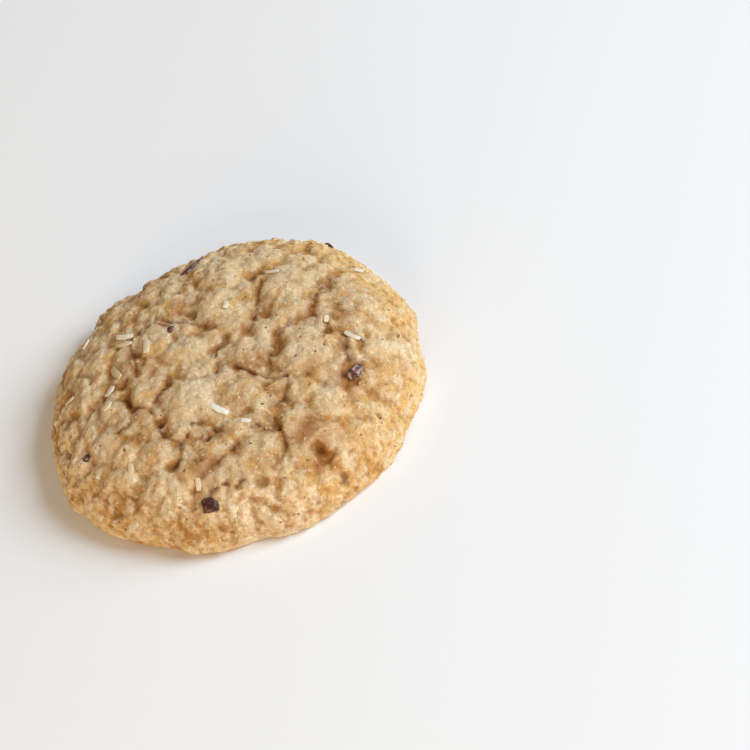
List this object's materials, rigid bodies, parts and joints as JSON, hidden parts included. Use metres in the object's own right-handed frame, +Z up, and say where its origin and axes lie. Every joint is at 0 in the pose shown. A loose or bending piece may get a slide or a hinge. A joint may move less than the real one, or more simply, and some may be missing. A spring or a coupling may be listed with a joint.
{
  "type": "cookie",
  "caption": "Round baked drop cookie with a lumpy cracked crown, a smooth toasted rim and a flat underside, with coconut shreds and dark nut bits baked in.",
  "frame": {"origin": "middle of the flat underside, on the surface that the cookie lies on", "axes": "+Z up through the crown, -Y towards the near side of the picture, +X towards the smooth toasted rim"},
  "size_m": [0.0726, 0.0716, 0.0144],
  "materials": {
    "dough": "matte",
    "coconut": "satin",
    "nut": "satin"
  },
  "bodies": {
    "root": {"cookie": "dough"}
  },
  "joints": []
}
